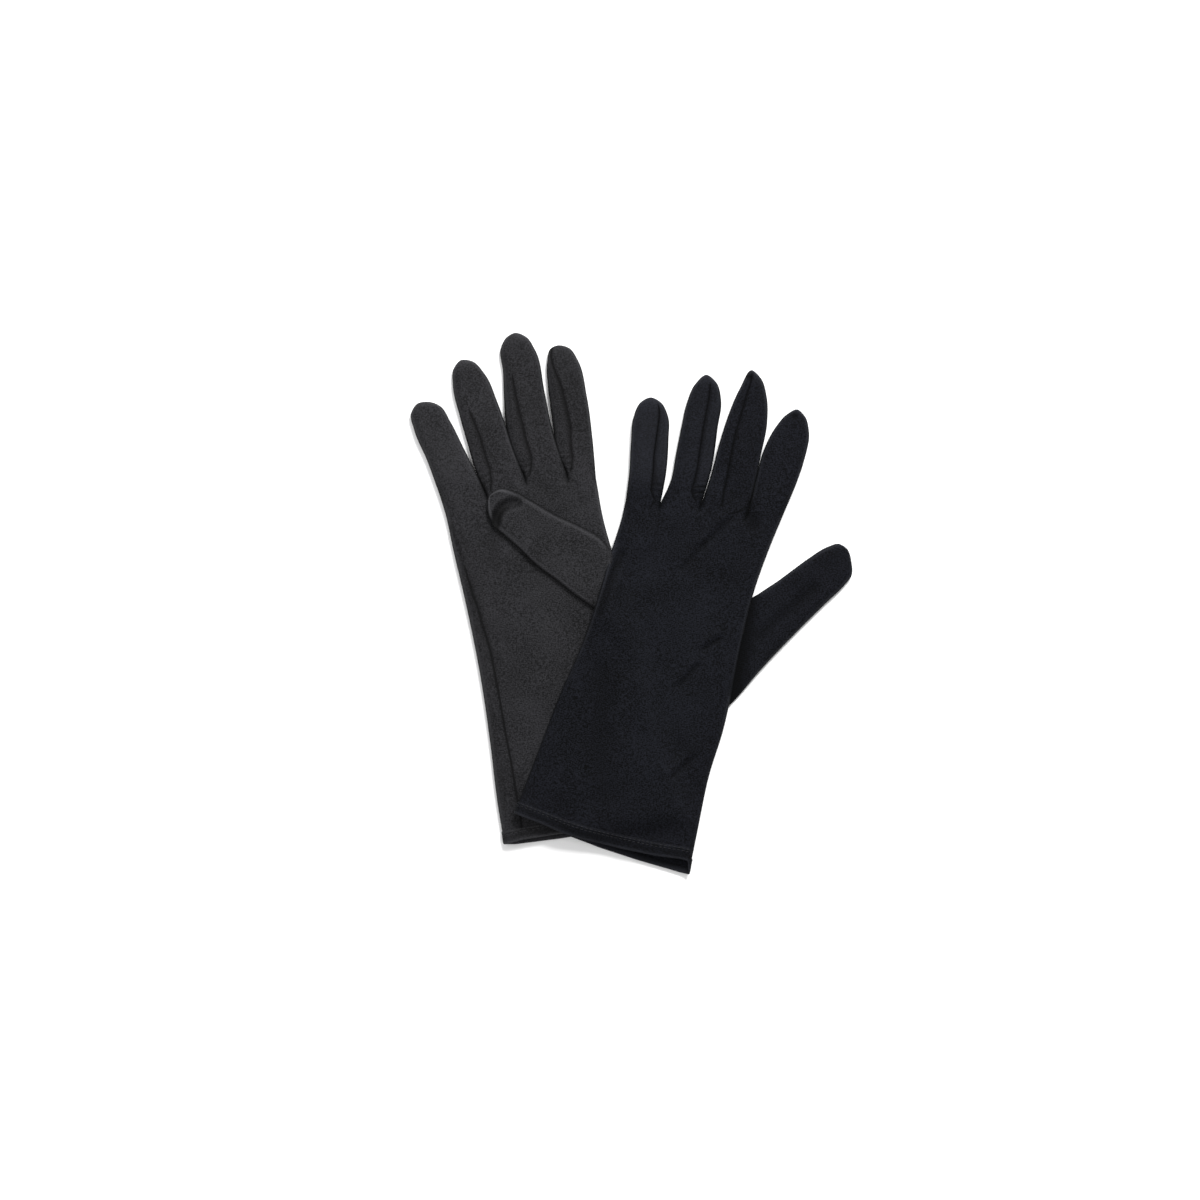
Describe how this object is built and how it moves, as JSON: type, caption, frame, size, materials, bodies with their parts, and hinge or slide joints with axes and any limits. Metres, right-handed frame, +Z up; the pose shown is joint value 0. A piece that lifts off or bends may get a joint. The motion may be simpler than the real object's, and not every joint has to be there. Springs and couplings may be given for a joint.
{
  "type": "pair of long gloves",
  "caption": "Pair of long stretch dress gloves laid flat, the left back up over the right palm up, with hems, fourchettes, folding fingers and thumbs and a lift-off left glove",
  "frame": {"origin": "middle of the pair's outline, on the surface it lies on", "axes": "+Y towards the fingertips, +X towards the left glove's thumb, +Z up from the surface"},
  "size_m": [0.2525, 0.31, 0.0199],
  "materials": {
    "right_glove_cloth": "matte fine-knit stretch cloth, black with a faint soft sheen",
    "left_glove_cloth": "matte fine-knit stretch cloth, black with a faint soft sheen",
    "right_hem_band": "matte fine-knit stretch cloth, black with a faint soft sheen",
    "left_hem_band": "matte fine-knit stretch cloth, black with a faint soft sheen"
  },
  "bodies": {
    "right_hand": {"right_back": "right_glove_cloth", "right_forearm_fold": "right_glove_cloth", "right_hem_back": "right_hem_band", "right_hem_palm": "right_hem_band", "right_index_fold": "right_glove_cloth", "right_palm": "right_glove_cloth", "right_side_seam": "right_glove_cloth", "right_thumb_base_lower": "right_glove_cloth", "right_thumb_base_upper": "right_glove_cloth"},
    "left_hand": {"left_back": "left_glove_cloth", "left_forearm_fold": "left_glove_cloth", "left_hem_back": "left_hem_band", "left_hem_palm": "left_hem_band", "left_index_fold": "left_glove_cloth", "left_palm": "left_glove_cloth", "left_side_seam": "left_glove_cloth"},
    "left_index": {"left_index_back": "left_glove_cloth", "left_index_fourchette_low": "left_glove_cloth", "left_index_outer_fold": "left_glove_cloth", "left_index_palm": "left_glove_cloth"},
    "left_little": {"left_little_back": "left_glove_cloth", "left_little_fourchette_high": "left_glove_cloth", "left_little_outer_seam": "left_glove_cloth", "left_little_palm": "left_glove_cloth"},
    "left_middle": {"left_middle_back": "left_glove_cloth", "left_middle_fourchette_high": "left_glove_cloth", "left_middle_fourchette_low": "left_glove_cloth", "left_middle_palm": "left_glove_cloth"},
    "left_ring": {"left_ring_back": "left_glove_cloth", "left_ring_fourchette_high": "left_glove_cloth", "left_ring_fourchette_low": "left_glove_cloth", "left_ring_palm": "left_glove_cloth"},
    "left_thumb": {"left_thumb_lower": "left_glove_cloth", "left_thumb_lower_edge": "left_glove_cloth", "left_thumb_upper": "left_glove_cloth", "left_thumb_upper_edge": "left_glove_cloth"},
    "right_index": {"right_index_back": "right_glove_cloth", "right_index_fourchette_low": "right_glove_cloth", "right_index_outer_fold": "right_glove_cloth", "right_index_palm": "right_glove_cloth"},
    "right_little": {"right_little_back": "right_glove_cloth", "right_little_fourchette_high": "right_glove_cloth", "right_little_outer_seam": "right_glove_cloth", "right_little_palm": "right_glove_cloth"},
    "right_middle": {"right_middle_back": "right_glove_cloth", "right_middle_fourchette_high": "right_glove_cloth", "right_middle_fourchette_low": "right_glove_cloth", "right_middle_palm": "right_glove_cloth"},
    "right_ring": {"right_ring_back": "right_glove_cloth", "right_ring_fourchette_high": "right_glove_cloth", "right_ring_fourchette_low": "right_glove_cloth", "right_ring_palm": "right_glove_cloth"},
    "right_thumb": {"right_thumb_lower": "right_glove_cloth", "right_thumb_lower_edge": "right_glove_cloth", "right_thumb_upper": "right_glove_cloth", "right_thumb_upper_edge": "right_glove_cloth"}
  },
  "joints": [
    {"name": "left_glove_lift", "type": "slide", "parent": "right_hand", "child": "left_hand", "axis": [0, 0, 1], "range_m": [0, 0.25]},
    {"name": "right_little_fold", "type": "hinge", "parent": "right_hand", "child": "right_little", "pos_m": [-0.10209, 0.06449, 0.00715], "axis": [0.9938, 0.1115, 0], "range_deg": [0, 90]},
    {"name": "right_ring_fold", "type": "hinge", "parent": "right_hand", "child": "right_ring", "pos_m": [-0.07996, 0.06697, 0.00715], "axis": [0.9938, 0.1115, 0], "range_deg": [0, 90]},
    {"name": "right_middle_fold", "type": "hinge", "parent": "right_hand", "child": "right_middle", "pos_m": [-0.05633, 0.06962, 0.00715], "axis": [0.9938, 0.1115, 0], "range_deg": [0, 90]},
    {"name": "right_index_fold", "type": "hinge", "parent": "right_hand", "child": "right_index", "pos_m": [-0.0342, 0.0721, 0.00715], "axis": [0.9938, 0.1115, 0], "range_deg": [0, 90]},
    {"name": "left_little_fold", "type": "hinge", "parent": "left_hand", "child": "left_little", "pos_m": [0.00499, 0.05878, 0.01643], "axis": [0.9987, -0.0506, 0], "range_deg": [0, 90]},
    {"name": "left_ring_fold", "type": "hinge", "parent": "left_hand", "child": "left_ring", "pos_m": [0.0279, 0.05762, 0.00715], "axis": [0.9987, -0.0506, 0], "range_deg": [0, 90]},
    {"name": "left_middle_fold", "type": "hinge", "parent": "left_hand", "child": "left_middle", "pos_m": [0.05236, 0.05638, 0.00715], "axis": [0.9987, -0.0506, 0], "range_deg": [0, 90]},
    {"name": "left_index_fold", "type": "hinge", "parent": "left_hand", "child": "left_index", "pos_m": [0.07527, 0.05522, 0.00715], "axis": [0.9987, -0.0506, 0], "range_deg": [0, 90]},
    {"name": "right_thumb_lift", "type": "hinge", "parent": "right_hand", "child": "right_thumb", "pos_m": [-0.02015, 0.01321, 0.01195], "axis": [0.2672, 0.9636, 0], "range_deg": [0, 80]},
    {"name": "left_thumb_fold", "type": "hinge", "parent": "left_hand", "child": "left_thumb", "pos_m": [0.06155, -0.02701, 0.00715], "axis": [-0.2387, -0.9711, 0], "range_deg": [0, 90]}
  ]
}
